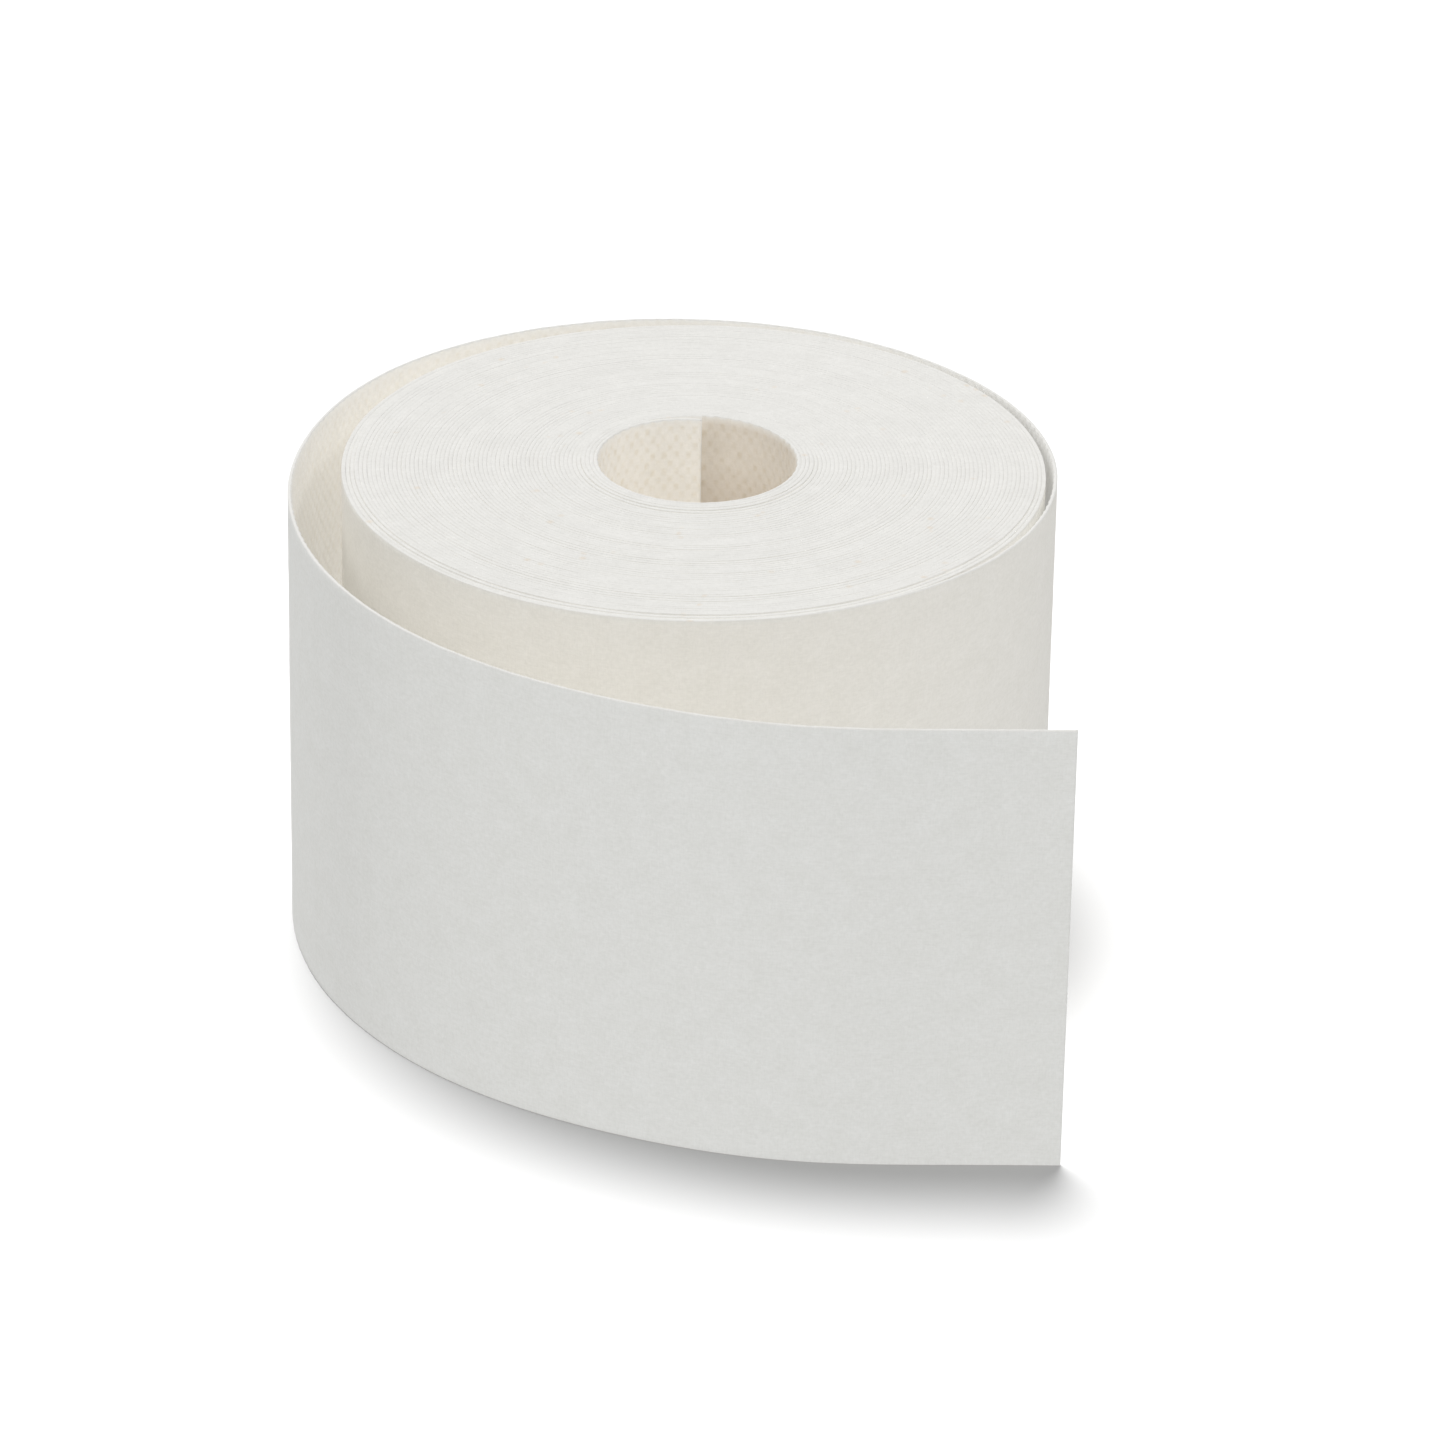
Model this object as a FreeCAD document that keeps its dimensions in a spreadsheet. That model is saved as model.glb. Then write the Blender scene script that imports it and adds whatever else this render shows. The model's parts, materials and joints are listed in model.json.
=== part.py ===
import FreeCAD, Part

import math
import os

import Sketcher

# A roll of white nonwoven (fleece) band, coreless, standing on its cut edge.
# The band is one strip: its inner end lies in the hole, it is wound tight for sixty turns, and its
# outermost turn has sprung loose and ends in a free tail that sweeps across the front.
# The first and the last tight turn are the band itself; the turns between them are pressed together
# and are solid rings, bounded by the inner face of one turn and the outer face of another.
# Frame: origin on the axis of the hole, at the standing edge; +Z up along the axis; the tail runs to +X.
# Seen from above the band winds outwards counter-clockwise. Lengths are in millimetres.

doc = FreeCAD.newDocument("FleeceBandRoll")

# ---------------------------------------------------------------- driving dimensions

SIZES = {
    "band_width": 50.0,        # height of the roll as it stands
    "band_thickness": 0.40,
    "hole_radius": 10.65,      # inner face of the first turn
    "wound_radius": 37.35,     # outer face of the last tight turn
    "wound_turns": 60,
    "inner_end_angle": 88.0,   # where the cut inner end stands in the hole
    "round_sweep": 280.0,      # each turn is round for this angle, then steps out by one pitch
    "leaving_angle": 290.0,    # where the loose turn leaves the tight ones
    "offset_x": -0.15,         # the outermost turn is this far out of true with the hole
    "offset_y": -1.0,
    "inner_end_length": 30.0,  # length of the inner end counted as its own piece
    "slit": 0.12,              # clearance between neighbouring lengths of the band
    "zone_length": 19.1,       # the loose band bends evenly over each length of this size
}

# Bend radii of the loose band's middle surface, one per zone, from the tight turns to the free tip.
LOOSE_TURN_BENDS = [41.5, 35.2, 35.7, 39.0, 40.4, 41.1, 41.8, 37.9]
TAIL_BENDS = [49.3, 51.6, 52.6, 54.7, 76.0, 62.7, 1140.0]
PIECES_PER_ZONE = 2
PRESSED_RINGS = 3              # the pressed turns are counted in this many rings

sheet = doc.addObject("Spreadsheet::Sheet", "Sizes")


def fill_sheet():
    """Write every driving dimension into the sheet, a name beside a number with an alias."""
    rows = dict(SIZES)
    for number, radius in enumerate(LOOSE_TURN_BENDS, 1):
        rows[f"loose_turn_bend_{number:02d}"] = radius
    for number, radius in enumerate(TAIL_BENDS, 1):
        rows[f"tail_bend_{number:02d}"] = radius
    for row, (alias, value) in enumerate(rows.items(), 1):
        sheet.set(f"A{row}", alias)
        sheet.set(f"B{row}", str(value))
        sheet.setAlias(f"B{row}", alias)


fill_sheet()
doc.recompute()


def size(alias):
    return float(sheet.get(alias))


# ---------------------------------------------------------------- plan geometry of the band


class Arc:
    """A counter-clockwise arc of the band's middle line; angles are in radians."""

    def __init__(self, centre_x, centre_y, radius, start, end):
        self.centre_x = centre_x
        self.centre_y = centre_y
        self.radius = radius
        self.start = start
        self.end = end

    def length(self):
        return self.radius * (self.end - self.start)

    def part(self, from_length, to_length):
        return Arc(
            self.centre_x,
            self.centre_y,
            self.radius,
            self.start + from_length / self.radius,
            self.start + to_length / self.radius,
        )

    def point(self, angle, offset=0.0):
        """The point at an angle, moved outwards from the middle line by offset."""
        reach = self.radius + offset
        return FreeCAD.Vector(
            self.centre_x + reach * math.cos(angle),
            self.centre_y + reach * math.sin(angle),
            0,
        )

    def heading(self, angle):
        return FreeCAD.Vector(-math.sin(angle), math.cos(angle), 0)

    def edge(self, offset):
        centre = FreeCAD.Vector(self.centre_x, self.centre_y, 0)
        circle = Part.Circle(centre, FreeCAD.Vector(0, 0, 1), self.radius + offset)
        return Part.ArcOfCircle(circle, self.start, self.end).toShape()


def arc_from(start, heading, end):
    """The arc that leaves start along heading and passes through end, bending left."""
    left = FreeCAD.Vector(-heading.y, heading.x, 0)
    chord = end - start
    radius = chord.dot(chord) / (2 * left.dot(chord))
    centre = start + left * radius
    start_angle = math.atan2(start.y - centre.y, start.x - centre.x)
    end_angle = math.atan2(end.y - centre.y, end.x - centre.x)
    sweep = (end_angle - start_angle) % (2 * math.pi)
    return Arc(centre.x, centre.y, radius, start_angle, start_angle + sweep)


def step_out(lower, upper):
    """Two arcs that carry the band smoothly from the end of one turn to the start of the next."""
    start = lower.point(lower.end)
    leaving = lower.heading(lower.end)
    end = upper.point(upper.start)
    arriving = upper.heading(upper.start)
    gap = end - start
    both = leaving + arriving
    spread = 2 * (1 - leaving.dot(arriving))
    along = gap.dot(both)
    reach = (math.sqrt(along * along + spread * gap.dot(gap)) - along) / spread
    middle = (start + leaving * reach + end - arriving * reach) * 0.5
    first = arc_from(start, leaving, middle)
    second = arc_from(middle, first.heading(first.end), end)
    return [first, second]


def wound_path():
    """The middle line of the tight turns, from the inner end to where the loose turn leaves."""
    thickness = size("band_thickness")
    turns = int(size("wound_turns"))
    inner = size("hole_radius") + thickness / 2
    outer = size("wound_radius") - thickness / 2
    start = math.radians(size("inner_end_angle"))
    round_end = start + math.radians(size("round_sweep"))
    circles = []
    for turn in range(turns):
        share = turn / (turns - 1)
        circles.append(
            Arc(
                size("offset_x") * share,
                size("offset_y") * share,
                inner + (outer - inner) * share,
                start,
                round_end,
            )
        )
    circles[-1].end = math.radians(size("leaving_angle"))
    path = []
    for lower, upper in zip(circles, circles[1:]):
        path.append(lower)
        path.extend(step_out(lower, upper))
    path.append(circles[-1])
    return path


def cut_length(path, from_length, to_length):
    """The arcs of a path between two distances from its start."""
    pieces = []
    passed = 0.0
    for arc in path:
        low = max(from_length - passed, 0.0)
        high = min(to_length - passed, arc.length())
        if high - low > 1e-6:
            pieces.append(arc.part(low, high))
        passed += arc.length()
    return pieces


def band_face(arcs):
    """The band's plan outline along tangent arcs: outer side, square end, inner side, square end."""
    half = size("band_thickness") / 2
    outer = [arc.edge(half) for arc in arcs]
    inner = [arc.edge(-half) for arc in reversed(arcs)]
    first = arcs[0]
    last = arcs[-1]
    start_cut = Part.LineSegment(first.point(first.start, -half), first.point(first.start, half))
    end_cut = Part.LineSegment(last.point(last.end, half), last.point(last.end, -half))
    edges = [start_cut.toShape()] + outer + [end_cut.toShape()] + inner
    return Part.Face(Part.Wire(edges))


# ---------------------------------------------------------------- the tight turns

sub_parts = []


def raised(label, face):
    """A plan outline, raised to the width of the band."""
    outline = doc.addObject("Part::Feature", f"{label}_outline")
    outline.Shape = face
    solid = doc.addObject("Part::Extrusion", label)
    solid.Label = label
    solid.Base = outline
    solid.DirMode = "Custom"
    solid.Dir = FreeCAD.Vector(0, 0, 1)
    solid.setExpression("LengthFwd", "Sizes.band_width")
    solid.Solid = True
    sub_parts.append(solid)


def turn_loop(arcs, offset):
    """A closed loop along one turn, offset from its middle line, with the step between its ends."""
    first = arcs[0]
    last = arcs[-1]
    step = Part.LineSegment(last.point(last.end, offset), first.point(first.start, offset))
    return Part.Wire([arc.edge(offset) for arc in arcs] + [step.toShape()])


def pressed_ring(path, inner_turn, outer_turn):
    """The pressed turns between two turns, each given by its two distances along the path."""
    half = size("band_thickness") / 2
    outer_loop = turn_loop(cut_length(path, *outer_turn), half)
    inner_loop = turn_loop(cut_length(path, *inner_turn), -half)
    return Part.Face(outer_loop).cut(Part.Face(inner_loop)).Faces[0]


def wind_roll():
    """The inner end, the rest of the first turn, the pressed rings and the last tight turn."""
    path = wound_path()
    total = sum(arc.length() for arc in path)
    half_slit = size("slit") / 2
    turn_starts = [0.0]
    for number in range(int(size("wound_turns")) - 1):
        round_and_step = path[3 * number:3 * number + 3]
        turn_starts.append(turn_starts[-1] + sum(arc.length() for arc in round_and_step))

    inner_end = size("inner_end_length")
    raised("inner_end", band_face(cut_length(path, 0.0, inner_end - half_slit)))
    first_turn = cut_length(path, inner_end + half_slit, turn_starts[1] - half_slit)
    raised("first_turn", band_face(first_turn))

    pressed = len(turn_starts) - 2
    for ring in range(PRESSED_RINGS):
        low = 1 + round(pressed * ring / PRESSED_RINGS)
        high = 1 + round(pressed * (ring + 1) / PRESSED_RINGS)
        inner_turn = (turn_starts[low] + half_slit, turn_starts[low + 1] + half_slit)
        outer_turn = (turn_starts[high - 1] - half_slit, turn_starts[high] - half_slit)
        raised(f"pressed_turns_{ring + 1}", pressed_ring(path, inner_turn, outer_turn))

    last_turn = cut_length(path, turn_starts[-1] + half_slit, total - half_slit)
    raised("last_tight_turn", band_face(last_turn))
    print(f"wound length {total:.1f} mm")
    return path[-1]


# ---------------------------------------------------------------- the loose turn and the free tail


def bent_length(label, bend_alias, sweep, placement):
    """A short length of band, bent to one radius about the sketch's origin, as a padded sketch."""
    body = doc.addObject("PartDesign::Body", label)
    body.Label = label
    plane = next(item for item in body.Origin.OriginFeatures if item.Role == "XY_Plane")
    sketch = body.newObject("Sketcher::SketchObject", f"{label}_sketch")
    sketch.AttachmentSupport = [(plane, "")]
    sketch.MapMode = "FlatFace"

    half = size("band_thickness") / 2
    radius = size(bend_alias)
    up = FreeCAD.Vector(0, 0, 1)
    origin = FreeCAD.Vector(0, 0, 0)
    sides = []
    for reach in (radius + half, radius - half):
        circle = Part.Circle(origin, up, reach)
        sides.append(sketch.addGeometry(Part.ArcOfCircle(circle, 0.0, sweep)))
    outer, inner = sides
    ends = []
    for angle in (0.0, sweep):
        ray = FreeCAD.Vector(math.cos(angle), math.sin(angle), 0)
        ends.append(sketch.addGeometry(Part.LineSegment(ray * (radius - half), ray * (radius + half))))
    near_end, far_end = ends

    add = sketch.addConstraint
    for side in sides:
        add(Sketcher.Constraint("Coincident", side, 3, -1, 1))
    add(Sketcher.Constraint("Coincident", near_end, 1, inner, 1))
    add(Sketcher.Constraint("Coincident", near_end, 2, outer, 1))
    add(Sketcher.Constraint("Coincident", far_end, 1, inner, 2))
    add(Sketcher.Constraint("Coincident", far_end, 2, outer, 2))
    add(Sketcher.Constraint("PointOnObject", inner, 1, -1))
    add(Sketcher.Constraint("PointOnObject", outer, 1, -1))
    add(Sketcher.Constraint("PointOnObject", -1, 1, far_end))
    outer_size = add(Sketcher.Constraint("Radius", outer, radius + half))
    inner_size = add(Sketcher.Constraint("Radius", inner, radius - half))
    turn_size = add(Sketcher.Constraint("Angle", -1, 1, far_end, 1, sweep))
    sketch.setExpression(f"Constraints[{outer_size}]", f"Sizes.{bend_alias} + Sizes.band_thickness / 2")
    sketch.setExpression(f"Constraints[{inner_size}]", f"Sizes.{bend_alias} - Sizes.band_thickness / 2")
    span = f"(Sizes.zone_length / {PIECES_PER_ZONE} - Sizes.slit)"
    sketch.setExpression(f"Constraints[{turn_size}]", f"{span} / Sizes.{bend_alias} * 180 / pi * 1 deg")

    pad = body.newObject("PartDesign::Pad", f"{label}_pad")
    pad.Profile = sketch
    pad.setExpression("Length", "Sizes.band_width")
    body.Placement = placement
    sub_parts.append(body)


def lay_loose_band(last_arc):
    """Chain the bent lengths, each leaving the one before at a tangent, and print the hinge lines."""
    piece_length = size("zone_length") / PIECES_PER_ZONE
    slit = size("slit")
    place = last_arc.point(last_arc.end)
    heading = last_arc.heading(last_arc.end)
    runs = [("loose_turn", len(LOOSE_TURN_BENDS)), ("tail", len(TAIL_BENDS))]
    for run, zones in runs:
        for number in range(zones * PIECES_PER_ZONE):
            bend_alias = f"{run}_bend_{number // PIECES_PER_ZONE + 1:02d}"
            radius = size(bend_alias)
            centre = place + FreeCAD.Vector(-heading.y, heading.x, 0) * radius
            start = math.atan2(place.y - centre.y, place.x - centre.x)
            sweep = (piece_length - slit) / radius
            turned = FreeCAD.Rotation(FreeCAD.Vector(0, 0, 1), math.degrees(start + slit / 2 / radius))
            label = f"{run}_{number + 1:02d}"
            bent_length(label, bend_alias, sweep, FreeCAD.Placement(centre, turned))
            bend = math.degrees(piece_length / radius)
            print(f"hinge {label} {place.x:.4f} {place.y:.4f} bend {bend:.4f}")
            arc = Arc(centre.x, centre.y, radius, start, start + piece_length / radius)
            place = arc.point(arc.end)
            heading = arc.heading(arc.end)
    print(f"tip {place.x:.3f} {place.y:.3f}")


lay_loose_band(wind_roll())
doc.recompute()

# ---------------------------------------------------------------- checks and export


def check_document():
    for item in doc.Objects:
        faults = [word for word in item.State if word in ("Invalid", "Error")]
        if faults:
            raise RuntimeError(f"{item.Name} is {faults}")
    for item in sub_parts:
        shape = item.Shape
        if shape.isNull() or not shape.isValid() or len(shape.Solids) != 1:
            raise RuntimeError(f"{item.Label} has no single valid solid")


check_document()
os.makedirs("parts", exist_ok=True)
for sub_part in sub_parts:
    sub_part.Shape.exportStep(f"parts/{sub_part.Label}.step")
print(f"{len(sub_parts)} sub-parts, {sum(part.Shape.Volume for part in sub_parts) / 1000:.2f} cm3")
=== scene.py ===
import json
import math

import bpy
import numpy as np
from mathutils import Matrix, Vector


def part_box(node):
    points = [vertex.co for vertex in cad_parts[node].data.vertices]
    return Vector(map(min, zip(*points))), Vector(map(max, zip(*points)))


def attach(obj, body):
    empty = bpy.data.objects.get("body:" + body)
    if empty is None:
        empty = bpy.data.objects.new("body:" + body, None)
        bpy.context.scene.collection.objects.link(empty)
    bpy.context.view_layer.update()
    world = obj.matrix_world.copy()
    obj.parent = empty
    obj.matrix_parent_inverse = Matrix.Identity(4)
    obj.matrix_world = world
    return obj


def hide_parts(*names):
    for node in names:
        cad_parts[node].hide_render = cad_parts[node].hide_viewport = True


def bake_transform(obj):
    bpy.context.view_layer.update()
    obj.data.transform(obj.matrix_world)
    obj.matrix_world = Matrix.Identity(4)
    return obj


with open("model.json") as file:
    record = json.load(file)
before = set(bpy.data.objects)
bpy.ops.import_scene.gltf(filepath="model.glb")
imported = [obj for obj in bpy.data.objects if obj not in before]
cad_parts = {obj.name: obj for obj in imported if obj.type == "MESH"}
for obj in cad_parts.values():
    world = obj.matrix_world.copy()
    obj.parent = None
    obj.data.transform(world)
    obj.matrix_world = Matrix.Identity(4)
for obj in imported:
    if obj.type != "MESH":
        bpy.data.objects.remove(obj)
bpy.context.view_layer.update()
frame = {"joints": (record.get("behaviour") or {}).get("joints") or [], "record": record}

# A roll of white nonwoven band: sixty tight turns, a loose outer turn and a free tail.
# Lengths are in metres, in the frame's own axes. "along" is the distance along the band, and a
# "turn" is a number of turns from the inner end, which need not be whole.

MM = 0.001
FULL = 2 * math.pi
record = frame["record"]
joints = frame["joints"]

# ---------------------------------------------------------------- sizes of the roll

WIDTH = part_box("inner_end")[1][2]              # the band's width, which is the roll's height
HOLE_RADIUS = next(m for m in record["mounts"] if m["name"] == "core_hole")["dims"]["r_mm"] * MM
THICKNESS = 0.40 * MM
HALF = THICKNESS / 2
TURNS = 60
START_ANGLE = math.radians(88.0)               # where the cut inner end stands
LEAVING_ANGLE = math.radians(290.0)            # where the loose turn leaves the tight ones
ROUND_SHARE = 280.0 / 360.0                    # a turn is round for this share, then steps out
OFFSET = Vector((-0.15, -1.0)) * MM            # centre of the outermost turn
HINGES = [Vector(joint["pos_m"][:2]) for joint in joints]
BODIES = [joint["child"] for joint in joints]
STEP = (HINGES[1] - HINGES[0]).length          # from one hinge to the next
WOUND_RADIUS = (HINGES[0] - OFFSET).length + HALF
PITCH = (WOUND_RADIUS - HOLE_RADIUS - THICKNESS) / (TURNS - 1)
LAST_TURN = TURNS - 1 + (LEAVING_ANGLE - START_ANGLE) / FULL
WOUND_LENGTH = math.pi * (HOLE_RADIUS + WOUND_RADIUS) * (TURNS - 0.44)

# ---------------------------------------------------------------- what winding and handling did

PRESSED_HALF = PITCH / 2 - 0.001 * MM          # a pressed turn fills its pitch
OUT_OF_ROUND = 0.34 * MM
END_LIFT = 0.75 * MM                           # the cut inner end has sprung off the turn behind it
END_LIFT_TURNS = 0.13
HOLE_LIP = 0.28 * MM                           # the innermost turns stand proud
RECESS = 0.22 * MM                             # and the outermost ones low
GROUP_HEIGHT = 0.075 * MM                      # unevenness from one group of turns to the next
SINGLE_HEIGHT = 0.022 * MM                     # and from one turn to the next
THINNING_TURNS = 0.25                          # over which the last turn regains the loose thickness

# ---------------------------------------------------------------- relief of the material

DOT_PITCH = 1.36 * MM                          # embossed dots along a row of the band's inner face
DOT_ROW = 0.94 * MM                            # and from one row to the next, which is staggered
DOT_DEPTH = 0.075 * MM
FINE_STEP = 0.2985 * MM                        # grid that carries the dots
RIM_WEAR = 0.05 * MM                           # unevenness of the cut edges
RIM_ROUNDING = 0.05 * MM                       # corner of a pressed turn
LOOSE_ROUNDING = 0.1 * MM                      # corner of a turn whose face is seen
COCKLE = ((6.5, 5.0, 0.009), (1.3, 1.6, 0.012), (0.62, 0.75, 0.012))  # length, height, depth in mm
FINE_ROWS = int(round((WIDTH - 0.2 * MM) / FINE_STEP)) + 1
COARSE_ROWS = (FINE_ROWS + 1) // 2
HIDDEN_ROWS = 6                                # up the hidden face of the outermost tight turn
EDGE_ROWS = 2                                  # up both faces of the turns that show only their edges
HINGE_CELLS = 32                               # stations from one hinge to the next
PRESSED_STATIONS = 140                         # stations in a turn that shows only its edges

PAINTED_WARMTH_FROM = WOUND_LENGTH + 70.0 * MM          # from here the painted warm shade of the roll fades into the tail's neutral, lighter tone
PAINTED_WARMTH_TO = WOUND_LENGTH + 170.0 * MM           # into the tail's neutral one
FIRST_TURN_TONES = 100.0                       # mm along the band, over which the hole's painted light and shade change
PAINTED_SHADE_FROM, PAINTED_SHADE_TO = 8.5, 5.0              # mm below the cut edge, where the hole's painted shade gets lighter
PAINTED_GLOW_DEPTH = 0.9                               # mm below the cut edge that is painted lighter, for light soaking through


def smooth(t):
    t = np.clip(t, 0.0, 1.0)
    return t * t * (3 - 2 * t)


def lattice_noise(x, y, seed):
    """Smooth noise between -1 and 1 on a unit lattice, the same for the same place and seed."""
    x0 = np.floor(x)
    y0 = np.floor(y)
    fx = smooth(x - x0)
    fy = smooth(y - y0)

    def corner(i, j):
        value = np.sin((x0 + i) * 127.1 + (y0 + j) * 311.7 + seed * 74.7) * 43758.5453
        return 2 * (value - np.floor(value)) - 1

    low = corner(0, 0) * (1 - fx) + corner(1, 0) * fx
    high = corner(0, 1) * (1 - fx) + corner(1, 1) * fx
    return low * (1 - fy) + high * fy


def dots(along, height):
    """Embossed dots in staggered rows: small pillows with sharper dimples between them."""
    wave = np.cos(FULL * along / DOT_PITCH) * np.cos(math.pi * height / DOT_ROW)
    uneven = 0.85 + 0.35 * lattice_noise(along / (1.9 * MM), height / (1.5 * MM), 21)
    return DOT_DEPTH * uneven * (wave - 0.6 * np.clip(-wave, 0, 1) ** 2)


def mottle(along, height, seed=5):
    """The gentle cockle of a smooth nonwoven face."""
    total = 0.0
    for number, (length, tall, depth) in enumerate(COCKLE):
        total = total + depth * MM * lattice_noise(along / (length * MM), height / (tall * MM), seed + number)
    return total


def rim_height(along, across, seed=9):
    """How far the cut edge stands above or below its mean height."""
    wave = lattice_noise(along / (2.4 * MM), across / (0.3 * MM), seed)
    fray = lattice_noise(along / (0.55 * MM), across / (0.15 * MM), seed + 3)
    return RIM_WEAR * (0.6 * wave + 0.4 * fray)


# ---------------------------------------------------------------- the band as a mesh

INNER, OUTER, EDGE = 0, 1, 2                   # kinds of point, and the material of each


def section(inner_rows, outer_rows, half, corner):
    """The band's cross-section as a loop: inner face upwards, upper edge, outer face downwards,
    lower edge. Returns across, height and kind for each point."""
    inner = np.linspace(corner, WIDTH - corner, inner_rows)
    outer = np.linspace(WIDTH - corner, corner, outer_rows)
    rim = np.array([(-0.72, 0.22), (-0.25, 0.0), (0.25, 0.0), (0.72, 0.22)])
    across = np.concatenate(
        [np.full(inner_rows, -half), rim[:, 0] * half, np.full(outer_rows, half), -rim[:, 0] * half]
    )
    height = np.concatenate([inner, WIDTH - rim[:, 1] * corner, outer, rim[:, 1] * corner])
    kind = np.repeat([INNER, EDGE, OUTER, EDGE], [inner_rows, len(rim), outer_rows, len(rim)])
    return across, height, kind


def band_mesh(name, line, profile, relief, finish, start_cap=False, end_cap=False):
    """A stretch of the band. line holds x, y, normal x, normal y and along for each station, profile
    is a section, and relief says how far each point stands out of the face and how far it is lifted."""
    x, y, normal_x, normal_y, along = line
    across, height, kind = profile
    stations = len(x)
    points = len(across)
    grid_along = np.repeat(along[:, None], points, axis=1)
    grid_height = np.repeat(height[None, :], stations, axis=0)
    out, lift = relief(grid_along, grid_height, kind[None, :], across[None, :])
    reach = across[None, :] + out
    vertices = np.stack(
        [
            x[:, None] + normal_x[:, None] * reach,
            y[:, None] + normal_y[:, None] * reach,
            grid_height + lift,
        ],
        axis=-1,
    ).reshape(-1, 3)
    here = np.arange(stations - 1)[:, None] * points
    there = here + points
    this = np.arange(points)[None, :]
    following = (this + 1) % points
    quads = np.stack([here + this, here + following, there + following, there + this], axis=-1)
    faces = quads.reshape(-1, 4).tolist()
    if start_cap:
        faces.append(list(range(points))[::-1])
    if end_cap:
        first = (stations - 1) * points
        faces.append(list(range(first, first + points)))
    mesh = bpy.data.meshes.new(name)
    mesh.from_pydata(vertices.tolist(), [], faces)
    mesh.update()
    mesh.polygons.foreach_set("use_smooth", [True] * len(mesh.polygons))

    # UV: along the band and up it, in millimetres; a cut edge runs on past the face it belongs to
    up = np.where(kind == EDGE, height + across, height)
    uv = np.stack([grid_along, np.repeat(up[None, :], stations, axis=0)], axis=-1).reshape(-1, 2) / MM
    layer = mesh.uv_layers.new(name="Band")
    loops = np.empty(len(mesh.loops), dtype=np.int32)
    mesh.loops.foreach_get("vertex_index", loops)
    layer.data.foreach_set("uv", uv[loops].ravel().astype(np.float32))

    for face_material in finish:
        mesh.materials.append(face_material)
    row_kind = np.where(kind == np.roll(kind, -1), kind, EDGE)
    which = np.repeat(row_kind[None, :], stations - 1, axis=0).ravel().tolist()
    which += [EDGE] * (len(mesh.polygons) - len(which))
    mesh.polygons.foreach_set("material_index", which)
    piece = bpy.data.objects.new(name, mesh)
    bpy.context.collection.objects.link(piece)
    return piece


# ---------------------------------------------------------------- shader nodes

WHITE = (1.0, 1.0, 1.0)
BLACK = (0.0, 0.0, 0.0)


def node_material(name):
    material = bpy.data.materials.new(name)
    material.use_nodes = True
    tree = material.node_tree
    tree.nodes.clear()
    return material, tree


def add_node(tree, kind, **values):
    """A node with the given sockets or settings."""
    made = tree.nodes.new(kind)
    for key, value in values.items():
        if key in made.inputs:
            made.inputs[key].default_value = value
        else:
            setattr(made, key, value)
    return made


def stretched(tree, place, scale):
    mapping = add_node(tree, "ShaderNodeMapping", Scale=scale)
    tree.links.new(place, mapping.inputs["Vector"])
    return mapping.outputs["Vector"]


def noise(tree, place, scale, detail=3.0, rough=0.55):
    made = add_node(tree, "ShaderNodeTexNoise", Scale=scale, Detail=detail, Roughness=rough)
    tree.links.new(place, made.inputs["Vector"])
    return made.outputs["Fac"]


def ramp(tree, factor, *stops):
    """A colour between the given ones. A stop is a place from 0 to 1 and the colour there."""
    made = tree.nodes.new("ShaderNodeValToRGB")
    elements = made.color_ramp.elements
    for number, (place, colour) in enumerate(stops):
        element = elements[number] if number < 2 else elements.new(place)
        element.position = place
        element.color = (*colour, 1)
    tree.links.new(factor, made.inputs["Fac"])
    return made.outputs["Color"]


def mixed(tree, factor, first, second, blend="MIX"):
    """Two colours mixed. The factor may be a number, and a colour three numbers."""
    made = add_node(tree, "ShaderNodeMix", data_type="RGBA", blend_type=blend)
    if isinstance(factor, float):
        made.inputs["Factor"].default_value = factor
    else:
        tree.links.new(factor, made.inputs["Factor"])
    for number, colour in ((6, first), (7, second)):
        if isinstance(colour, tuple):
            made.inputs[number].default_value = (*colour, 1)
        else:
            tree.links.new(colour, made.inputs[number])
    return made.outputs[2]


def multiplied(tree, first, second):
    return mixed(tree, 1.0, first, second, "MULTIPLY")


def progress(tree, place, axis, low, high):
    """From 0 at low to 1 at high, in millimetres along the band (X) or up it (Y)."""
    apart = tree.nodes.new("ShaderNodeSeparateXYZ")
    tree.links.new(place, apart.inputs[0])
    share = tree.nodes.new("ShaderNodeMapRange")
    share.inputs["From Min"].default_value = low
    share.inputs["From Max"].default_value = high
    tree.links.new(apart.outputs[axis], share.inputs["Value"])
    return share.outputs["Result"]


def calculated(tree, operation, value, *others):
    """A Math node. Its first value is a link, and each of the others a link or a number."""
    made = add_node(tree, "ShaderNodeMath", operation=operation)
    tree.links.new(value, made.inputs[0])
    for number, other in enumerate(others, 1):
        if isinstance(other, float):
            made.inputs[number].default_value = other
        else:
            tree.links.new(other, made.inputs[number])
    return made.outputs[0]


def waves(tree, place):
    """The same wave that raises the dots, from 0 in a dimple to 1 on a dot."""
    apart = tree.nodes.new("ShaderNodeSeparateXYZ")
    tree.links.new(place, apart.inputs[0])
    cosines = []
    for axis, rate in (("X", FULL * MM / DOT_PITCH), ("Y", math.pi * MM / DOT_ROW)):
        scaled = calculated(tree, "MULTIPLY", apart.outputs[axis], rate)
        cosines.append(calculated(tree, "COSINE", scaled))
    product = calculated(tree, "MULTIPLY", *cosines)
    return calculated(tree, "MULTIPLY_ADD", product, 0.5, 0.5)


# ---------------------------------------------------------------- materials of the band


def painted_warmth_fade(tree, place, colour, unshaded_tint):
    """The roll's painted warm shade turns into the free end's neutral, lighter tone; the last argument is the
    tint it ends with.
    """
    fading = progress(tree, place, "X", PAINTED_WARMTH_FROM / MM, PAINTED_WARMTH_TO / MM)
    return multiplied(tree, colour, ramp(tree, fading, (0.0, WHITE), (1.0, unshaded_tint)))


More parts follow.
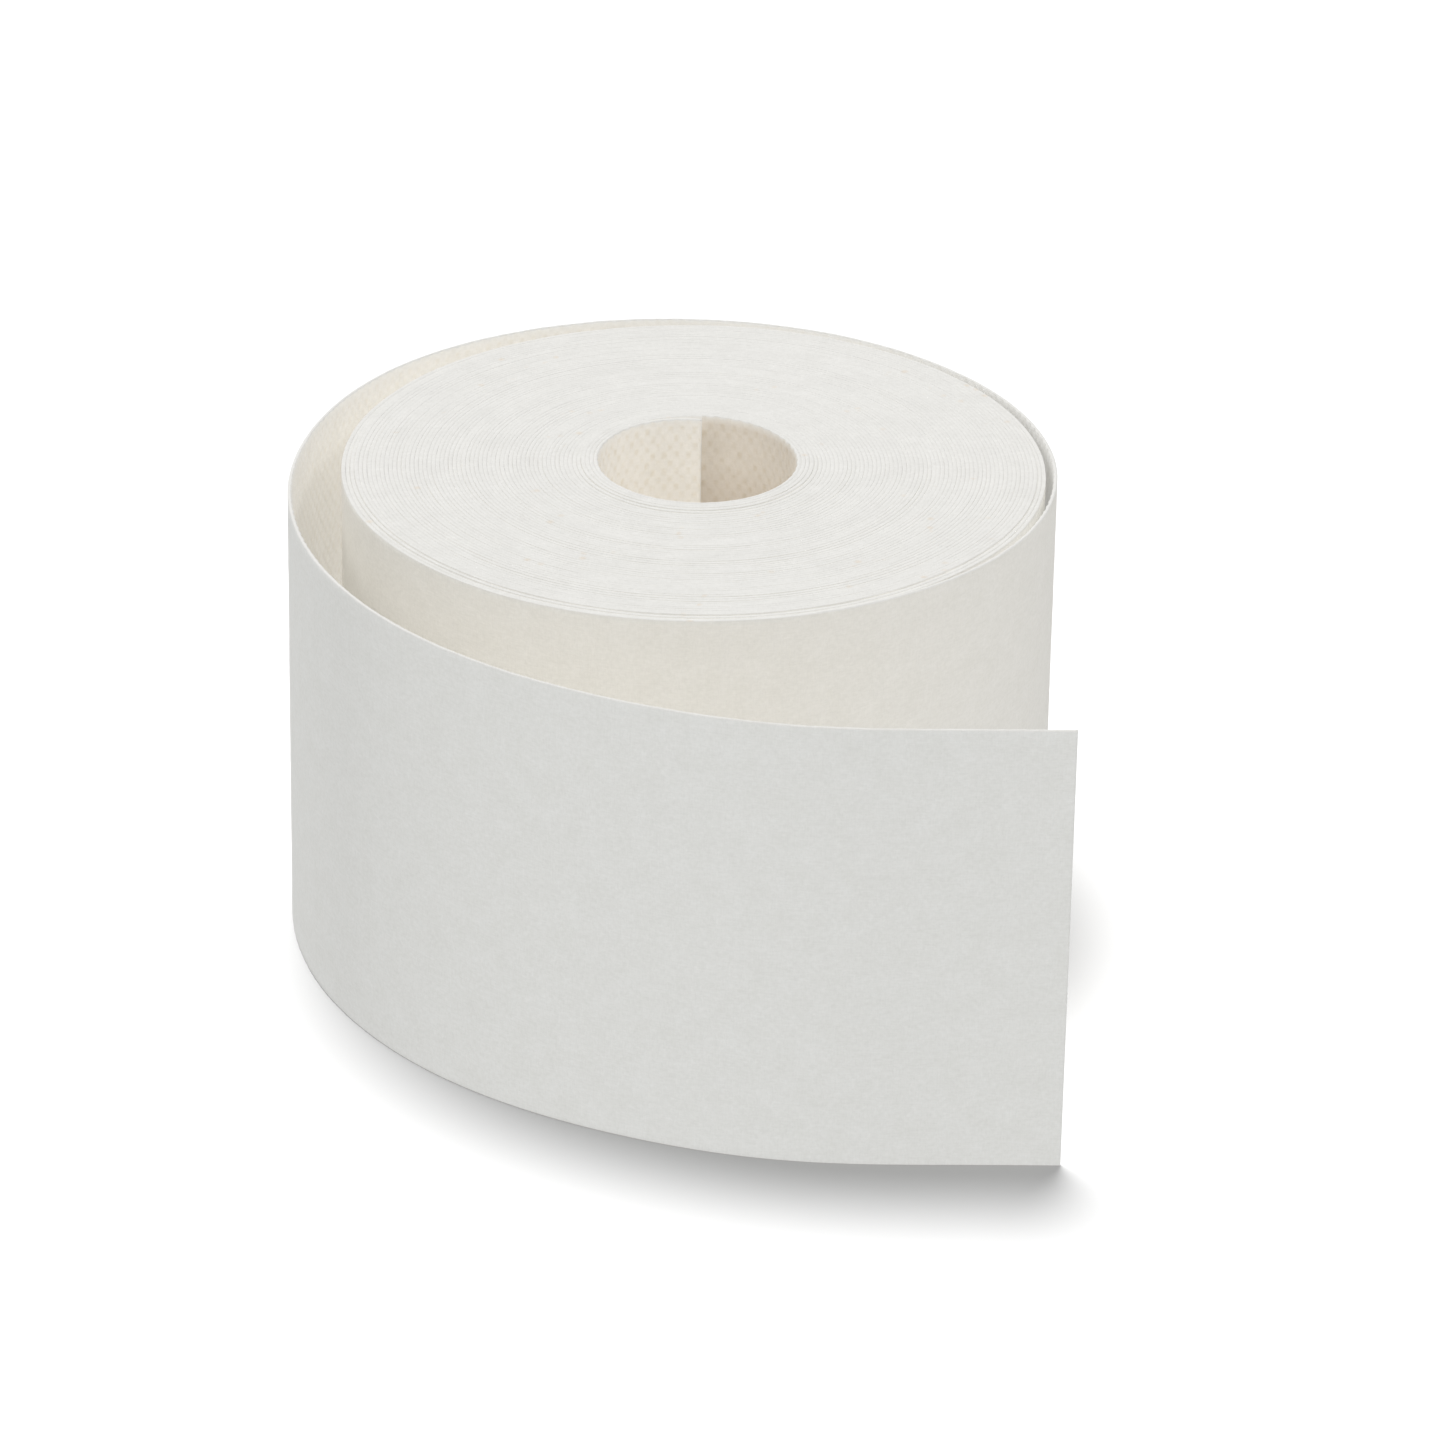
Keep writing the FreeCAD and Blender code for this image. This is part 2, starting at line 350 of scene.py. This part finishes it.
def inner_marks(tree, place, colour, grain):
    """What only the inner face shows: painted light and shade in the hole, painted shade in the dimples, a
    painted cool tint past the hole, and painted light below the rim.
    """
    # painted light and shade in the hole: the start of the first turn is painted a little lighter, and its
    # end, which the cut end stands in front of, darker, more so lower down
    first_turn = progress(tree, place, "X", 0.0, FIRST_TURN_TONES)
    painted_shades = []
    for painted_shade in ((0.765, 0.71, 0.65), (0.845, 0.80, 0.745)):
        stops = (0.40, (1.02, 1.015, 1.0)), (0.56, painted_shade), (0.72, painted_shade), (0.80, (0.99, 0.99, 0.99))
        painted_shades.append(ramp(tree, first_turn, *stops))
    below_edge = progress(tree, place, "Y", WIDTH / MM - PAINTED_SHADE_FROM, WIDTH / MM - PAINTED_SHADE_TO)
    colour = multiplied(tree, colour, mixed(tree, below_edge, *painted_shades))

    # painted shade in the dimples, patchy, and stronger in the hole
    painted_dimple_shade = ramp(tree, first_turn, (0.80, (0.91, 0.885, 0.83)), (0.90, (0.965, 0.95, 0.92)))
    pit = ramp(tree, waves(tree, place), (0.15, WHITE), (0.60, BLACK))
    patch = ramp(tree, noise(tree, place, 0.9, 2.0), (0.38, (0.12, 0.12, 0.12)), (0.66, (0.9, 0.9, 0.9)))
    where = multiplied(tree, pit, patch)
    colour = mixed(tree, where, colour, multiplied(tree, colour, painted_dimple_shade))

    # painted cool light: a cool tint on the inner face past the hole, fading out behind the roll, where the
    # loose turn looks as neutral as the tail
    behind = progress(tree, place, "X", PAINTED_WARMTH_FROM / MM, PAINTED_WARMTH_TO / MM)
    neutral = ramp(tree, behind, (0.0, (0.98, 1.005, 1.05)), (0.5, WHITE))
    past_hole = ramp(tree, first_turn, (0.98, BLACK), (0.99, WHITE))
    colour = mixed(tree, past_hole, colour, multiplied(tree, colour, neutral))

    # painted light: the last millimetre below the cut edge is painted lighter, for light soaking through
    near_edge = progress(tree, place, "Y", WIDTH / MM - PAINTED_GLOW_DEPTH, WIDTH / MM)
    soaked = ramp(tree, near_edge, (0.0, BLACK), (1.0, (0.85, 0.85, 0.85)))
    painted_glow = ramp(tree, grain, (0.3, (0.90, 0.885, 0.85)), (0.7, (0.93, 0.92, 0.89)))
    return mixed(tree, soaked, colour, painted_glow)


def speckled(tree, place, colour, strength):
    """A few light brown specks, here and there."""
    spots = add_node(tree, "ShaderNodeTexVoronoi", Scale=0.5)
    tree.links.new(place, spots.inputs["Vector"])
    spot = ramp(tree, spots.outputs["Distance"], (0.05, WHITE), (0.26, BLACK))
    chosen = ramp(tree, noise(tree, place, 0.23, 1.0), (0.60, BLACK), (0.63, WHITE))
    faint = mixed(tree, 1.0 - strength, (0.82, 0.72, 0.60), colour)
    return mixed(tree, multiplied(tree, spot, chosen), colour, faint)


def nonwoven(name, dark, light, thread, bump, specks=0.0, dotted=False, in_place=False, unshaded_tint=None):
    """Bonded white fibres of mottled density; thread is the tone of the threads that cross in it.
    The pattern runs along the band, or, in place, across all the turns pressed together."""
    material, tree = node_material(name)
    if in_place:
        coordinates = tree.nodes.new("ShaderNodeTexCoord").outputs["Object"]
        place = stretched(tree, coordinates, (1 / MM, 1 / MM, 1 / MM))
    else:
        place = add_node(tree, "ShaderNodeUVMap", uv_map="Band").outputs["UV"]
    cloud = noise(tree, place, 0.35, 4.0, 0.6)
    grain = noise(tree, place, 2.0, 3.0, 0.65)
    lengthwise = noise(tree, stretched(tree, place, (0.9, 5.5, 1.0)), 1.0, 2.0)
    crosswise = noise(tree, stretched(tree, place, (6.0, 1.1, 1.0)), 1.0, 2.0)
    fibres = mixed(tree, 0.5, lengthwise, crosswise)
    colour = ramp(tree, cloud, (0.30, dark), (0.70, light))
    colour = multiplied(tree, colour, ramp(tree, fibres, (0.35, (thread,) * 3), (0.65, WHITE)))
    colour = multiplied(tree, colour, ramp(tree, grain, (0.36, (0.957, 0.957, 0.952)), (0.64, WHITE)))
    # painted warm shade on the roll, fading into the tail's tone
    if unshaded_tint:
        colour = painted_warmth_fade(tree, place, colour, unshaded_tint)
    # painted light and shade on the inner face
    if dotted:
        colour = inner_marks(tree, place, colour, grain)
    if specks:
        colour = speckled(tree, place, colour, specks)

    shader = add_node(tree, "ShaderNodeBsdfPrincipled", Roughness=0.93)
    shader.inputs["Specular IOR Level"].default_value = 0.25
    shader.inputs["Sheen Weight"].default_value = 0.06
    shader.inputs["Sheen Roughness"].default_value = 0.6
    tree.links.new(colour, shader.inputs["Base Color"])
    relief = add_node(tree, "ShaderNodeBump", Strength=bump, Distance=0.05 * MM)
    tree.links.new(mixed(tree, 0.35, fibres, grain), relief.inputs["Height"])
    tree.links.new(relief.outputs["Normal"], shader.inputs["Normal"])
    out = tree.nodes.new("ShaderNodeOutputMaterial")
    tree.links.new(shader.outputs["BSDF"], out.inputs["Surface"])
    return material


inner_face = nonwoven("inner_face", (0.91, 0.886, 0.842), (0.95, 0.931, 0.897), 0.965, 0.5, dotted=True)
# the outer face carries painted warm shade on the roll, and the tail's lighter tint at its end
outer_face = nonwoven(
    "outer_face", (0.866, 0.849, 0.797), (0.90, 0.883, 0.836), 0.95, 0.9, unshaded_tint=(1.017, 1.040, 1.070)
)
cut_edge = nonwoven("cut_edge", (0.87, 0.86, 0.83), (0.91, 0.90, 0.87), 0.95, 0.8)
pressed_edges = nonwoven(
    "pressed_edges", (0.86, 0.85, 0.82), (0.905, 0.895, 0.865), 0.955, 0.9, specks=0.6, in_place=True
)
BAND_FINISH = (inner_face, outer_face, cut_edge)
PRESSED_FINISH = (inner_face, outer_face, pressed_edges)

# ---------------------------------------------------------------- the tight turns


def wound_line(turn):
    """The band's middle line at each of the given turns."""
    whole = np.minimum(np.floor(turn), TURNS - 1)
    step = smooth((turn - whole - ROUND_SHARE) / (1 - ROUND_SHARE))
    level = np.where(whole >= TURNS - 1, TURNS - 1, whole + step)
    share = level / (TURNS - 1)
    angle = START_ANGLE + FULL * turn
    # handling has pressed the roll slightly out of round, but not where the loose turn leaves it
    front = smooth((-np.sin(angle) - 0.45) / 0.4)
    radius = HOLE_RADIUS + HALF + PITCH * level
    radius = radius + OUT_OF_ROUND * share * np.cos(2 * angle) * (1 - front)
    radius = radius - END_LIFT * np.clip(1 - turn / END_LIFT_TURNS, 0.0, 1.0) ** 1.6
    return OFFSET.x * share + radius * np.cos(angle), OFFSET.y * share + radius * np.sin(angle)


def wound_stretch(turn):
    """Points and outward normals at the given turns, and along from the first of them."""
    x, y = wound_line(turn)
    slope_x = np.gradient(x, turn)
    slope_y = np.gradient(y, turn)
    size = np.hypot(slope_x, slope_y)
    along = np.concatenate([[0.0], np.cumsum(np.hypot(np.diff(x), np.diff(y)))])
    return x, y, slope_y / size, -slope_x / size, along


def turn_height(turn):
    """Winding leaves some turns a little proud and some a little low, in groups of a few turns."""
    angle = FULL * turn
    group = lattice_noise(turn / 3.6, 0.9 * np.cos(angle) + 7.0, 3)
    single = lattice_noise(turn, 0.8 * np.sin(angle) + 3.0, 4)
    recess = RECESS * smooth((turn - (TURNS - 3.4)) / 1.4)
    settled = smooth((LAST_TURN - turn) / 0.2)
    calm = 0.35 + 0.65 * smooth((turn - 4.0) / 14.0)
    lip = HOLE_LIP * (1 - smooth((turn - 2.5) / 3.5))
    return settled * (calm * (GROUP_HEIGHT * group + SINGLE_HEIGHT * single) - recess) + lip


def first_turn_relief(along, height, kind, across):
    out = np.where(kind == INNER, -dots(along, height), 0.0)
    edge = np.where(height > WIDTH / 2, 1.0, -1.0)
    lift = np.where(kind == EDGE, rim_height(along, across) * edge, 0.0)
    return out, lift + HOLE_LIP * smooth((height / WIDTH - 0.9) / 0.1)


def tight_stretch(name, turn, inner_rows, outer_rows, end_along):
    """A stretch of the tight spiral, which ends at a given distance along the band."""
    *line, along = wound_stretch(turn)
    along = along + end_along - along[-1]
    proud = turn_height(turn)[:, None]

    # the last of the tight turns thins to the loose band's own thickness, where the loose turn starts
    thinned = smooth((turn - LAST_TURN + THINNING_TURNS) / THINNING_TURNS)[:, None] * (PRESSED_HALF - HALF)

    def relief(grid_along, height, kind, across):
        out = np.where(kind == OUTER, mottle(grid_along, height), 0.0)
        out = out - thinned * across / PRESSED_HALF
        upper = height > WIDTH / 2
        share = height / WIDTH
        lift = proud * share + 0.25 * np.abs(proud) * (1 - share)
        lift = lift + np.where((kind == EDGE) & upper, 0.6 * rim_height(grid_along, across), 0.0)
        # loose fibres close the groove between two turns, more in some places than in others
        fibres = lattice_noise(grid_along / (4.2 * MM), turn[:, None] * 1.7, 15)
        closed = 0.92 * RIM_ROUNDING * smooth(0.62 + 0.75 * fibres)
        corner = (kind != EDGE) & (height > WIDTH - 1.1 * RIM_ROUNDING)
        return out, lift + np.where(corner, closed, 0.0)

    profile = section(inner_rows, outer_rows, PRESSED_HALF, RIM_ROUNDING)
    return band_mesh(name, (*line, along), profile, relief, PRESSED_FINISH), along[0]


def make_tight_turns():
    """The first turn with the dots that show in the hole, the turns that only show their edges as
    one spiral strip, and the outermost turn."""
    stations = int(round(FULL * (HOLE_RADIUS + HALF) / FINE_STEP))
    line = wound_stretch(np.linspace(0.0, 1.0, stations))
    profile = section(FINE_ROWS, COARSE_ROWS, PRESSED_HALF, LOOSE_ROUNDING)
    first = band_mesh(
        "tight_turn_in_the_hole", line, profile, first_turn_relief, PRESSED_FINISH, start_cap=True
    )

    turn = np.linspace(LAST_TURN - 1.0, LAST_TURN, int(FULL * WOUND_RADIUS / FINE_STEP))
    outermost, reached = tight_stretch("outermost_tight_turn", turn, HIDDEN_ROWS, COARSE_ROWS, WOUND_LENGTH)
    turn = np.linspace(1.0, LAST_TURN - 1.0, int((LAST_TURN - 2.0) * PRESSED_STATIONS))
    others, _ = tight_stretch("tight_turns", turn, EDGE_ROWS, EDGE_ROWS, reached)
    return first, others, outermost


# ---------------------------------------------------------------- the loose turn and the tail


def natural_line():
    """One smooth curve through the hinges and the tip, leaving the tight turns at a tangent.
    Returns its places and its slopes per step."""
    run_on = HINGES[-1] - HINGES[-2]
    places = np.array([*HINGES, HINGES[-1] + run_on])
    count = len(places)
    leaving = np.array([-math.sin(LEAVING_ANGLE), math.cos(LEAVING_ANGLE)])
    # a cubic spline with equal steps, its first slope given and its end free
    matrix = np.zeros((count, count))
    wanted = np.zeros((count, 2))
    matrix[0, 0] = 1.0
    wanted[0] = leaving * STEP
    for row in range(1, count - 1):
        matrix[row, row - 1:row + 2] = (1.0, 4.0, 1.0)
        wanted[row] = 3 * (places[row + 1] - places[row - 1])
    matrix[-1, -2:] = (1.0, 2.0)
    wanted[-1] = 3 * (places[-1] - places[-2])
    return places, np.linalg.solve(matrix, wanted)


PLACES, SLOPES = natural_line()


def loose_line(position):
    """Point and outward normal at a position counted in hinge steps from the first hinge."""
    index = np.clip(np.floor(position).astype(int), 0, len(PLACES) - 2)
    t = (position - index)[:, None]
    p, q = PLACES[index], PLACES[index + 1]
    m, n = SLOPES[index], SLOPES[index + 1]
    point = (
        (2 * t**3 - 3 * t**2 + 1) * p
        + (t**3 - 2 * t**2 + t) * m
        + (3 * t**2 - 2 * t**3) * q
        + (t**3 - t**2) * n
    )
    slope = (
        (6 * t**2 - 6 * t) * (p - q)
        + (3 * t**2 - 4 * t + 1) * m
        + (3 * t**2 - 2 * t) * n
    )
    slope = slope / np.linalg.norm(slope, axis=1)[:, None]
    return point[:, 0], point[:, 1], slope[:, 1], -slope[:, 0]


def loose_relief(along, height, kind, across):
    out = np.where(kind == INNER, -dots(along, height), mottle(along, height))
    out = np.where(kind == EDGE, 0.0, out)
    lift = np.where(kind == EDGE, rim_height(along, across), 0.0)
    return out, np.where(height > WIDTH / 2, lift, 0.3 * np.abs(lift))


def make_loose_band():
    """One piece across each hinge, from the middle of a length to the middle of the next."""
    made = []
    profile = section(FINE_ROWS, COARSE_ROWS, HALF, LOOSE_ROUNDING)
    ends = [0.0] + [number + 0.5 for number in range(len(HINGES))] + [float(len(HINGES))]
    for number, (low, high) in enumerate(zip(ends, ends[1:])):
        position = np.linspace(low, high, int(round((high - low) * HINGE_CELLS)) + 1)
        line = (*loose_line(position), WOUND_LENGTH + position * STEP)
        last = number == len(HINGES)
        name = "tail_tip" if last else f"across_{joints[number]['name']}"
        piece = band_mesh(name, line, profile, loose_relief, BAND_FINISH, end_cap=last)
        made.append(piece)
        if last:
            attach(piece, BODIES[-1])
        else:
            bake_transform(piece)
            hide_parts(BODIES[number])
    return made


in_the_hole, tight_turns, outermost_turn = make_tight_turns()
for piece in (in_the_hole, tight_turns, outermost_turn):
    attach(piece, "coil")
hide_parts("inner_end", "first_turn")
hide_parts("pressed_turns_1", "pressed_turns_2", "pressed_turns_3")
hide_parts("last_tight_turn")
loose_pieces = make_loose_band()

# ---------------------------------------------------------------- floor, light and camera

FLOOR_HALF_SIZE = 3.0
FLOOR_LEVEL = -0.05 * MM
WORLD_STRENGTH = 0.54


def make_floor():
    corners = [(-1, -1), (1, -1), (1, 1), (-1, 1)]
    mesh = bpy.data.meshes.new("floor")
    vertices = [(x * FLOOR_HALF_SIZE, y * FLOOR_HALF_SIZE, FLOOR_LEVEL) for x, y in corners]
    mesh.from_pydata(vertices, [], [(0, 1, 2, 3)])
    floor = bpy.data.objects.new("floor", mesh)
    bpy.context.collection.objects.link(floor)
    material, tree = node_material("pale_floor")
    shader = add_node(tree, "ShaderNodeBsdfPrincipled", Roughness=0.9)
    shader.inputs["Base Color"].default_value = (0.65, 0.65, 0.65, 1)
    shader.inputs["Specular IOR Level"].default_value = 0.1
    out = tree.nodes.new("ShaderNodeOutputMaterial")
    tree.links.new(shader.outputs["BSDF"], out.inputs["Surface"])
    mesh.materials.append(material)
    # the roll is lit evenly down to its standing edge, as on a bright table
    floor.visible_diffuse = False
    return floor


def collection(name, members):
    made = bpy.data.collections.new(name)
    for member in members:
        made.objects.link(member)
    return made


def sun_light(name, azimuth, elevation, spread, strength, lit, shadows=True):
    """A far soft source: compass angle from +X, height above the floor, angular size, strength as
    the brightness of a white face turned to it, and what it lights."""
    data = bpy.data.lights.new(name, "SUN")
    data.angle = math.radians(spread)
    data.energy = strength * math.pi
    data.use_shadow = shadows
    light = bpy.data.objects.new(name, data)
    turn = math.radians(azimuth)
    rise = math.radians(elevation)
    towards = Vector((math.cos(turn) * math.cos(rise), math.sin(turn) * math.cos(rise), math.sin(rise)))
    light.rotation_euler = towards.to_track_quat("Z", "Y").to_euler()
    bpy.context.collection.objects.link(light)
    light.light_linking.receiver_collection = lit


def make_light(floor, pieces):
    """A white tent: soft light from above, and fills from all round that reach into the gaps."""
    world = bpy.data.worlds.new("studio")
    bpy.context.scene.world = world
    world.use_nodes = True
    background = world.node_tree.nodes["Background"]
    background.inputs["Color"].default_value = (1.0, 1.0, 1.0, 1)
    background.inputs["Strength"].default_value = WORLD_STRENGTH
    on_floor = collection("lit_by_the_floor_light", [floor])
    on_roll = collection("lit_by_the_roll_lights", pieces)
    sun_light("floor_light", 110.0, 77.0, 22.0, 1.33, on_floor)
    sun_light("overhead", 90.0, 80.0, 30.0, 0.15, on_roll)
    sun_light("key_right", 15.0, 48.0, 8.0, 0.09, on_roll)
    sun_light("key_left", -160.0, 50.0, 16.0, 0.12, on_roll)
    sun_light("fill_left", 180.0, 30.0, 1.0, 0.135, on_roll, shadows=False)
    sun_light("fill_back", 90.0, 30.0, 1.0, 0.14, on_roll, shadows=False)
    sun_light("table_bounce", -60.0, -25.0, 1.0, 0.28, on_roll, shadows=False)


def make_camera():
    """A long lens, looking down at the roll from the front, turned a degree about its own axis."""
    elevation = math.radians(27.03)
    roll = math.radians(0.99)
    aim = Vector((3.15, 5.97, 15.8)) * MM
    distance = 840.0 * MM
    forward = Vector((0.0, math.cos(elevation), -math.sin(elevation)))
    upward = Vector((0.0, math.sin(elevation), math.cos(elevation)))
    sideways = Vector((1.0, 0.0, 0.0))
    right = sideways * math.cos(roll) + upward * math.sin(roll)
    above = upward * math.cos(roll) - sideways * math.sin(roll)
    data = bpy.data.cameras.new("camera")
    data.lens = 191.5
    data.sensor_width = 36.0
    data.clip_start = 0.01
    camera = bpy.data.objects.new("camera", data)
    turned = Matrix((right, above, -forward)).transposed().to_4x4()
    camera.matrix_world = Matrix.Translation(aim - forward * distance) @ turned
    bpy.context.collection.objects.link(camera)
    bpy.context.scene.camera = camera


make_light(make_floor(), [in_the_hole, tight_turns, outermost_turn, *loose_pieces])
make_camera()
bpy.context.scene.view_settings.view_transform = "Standard"
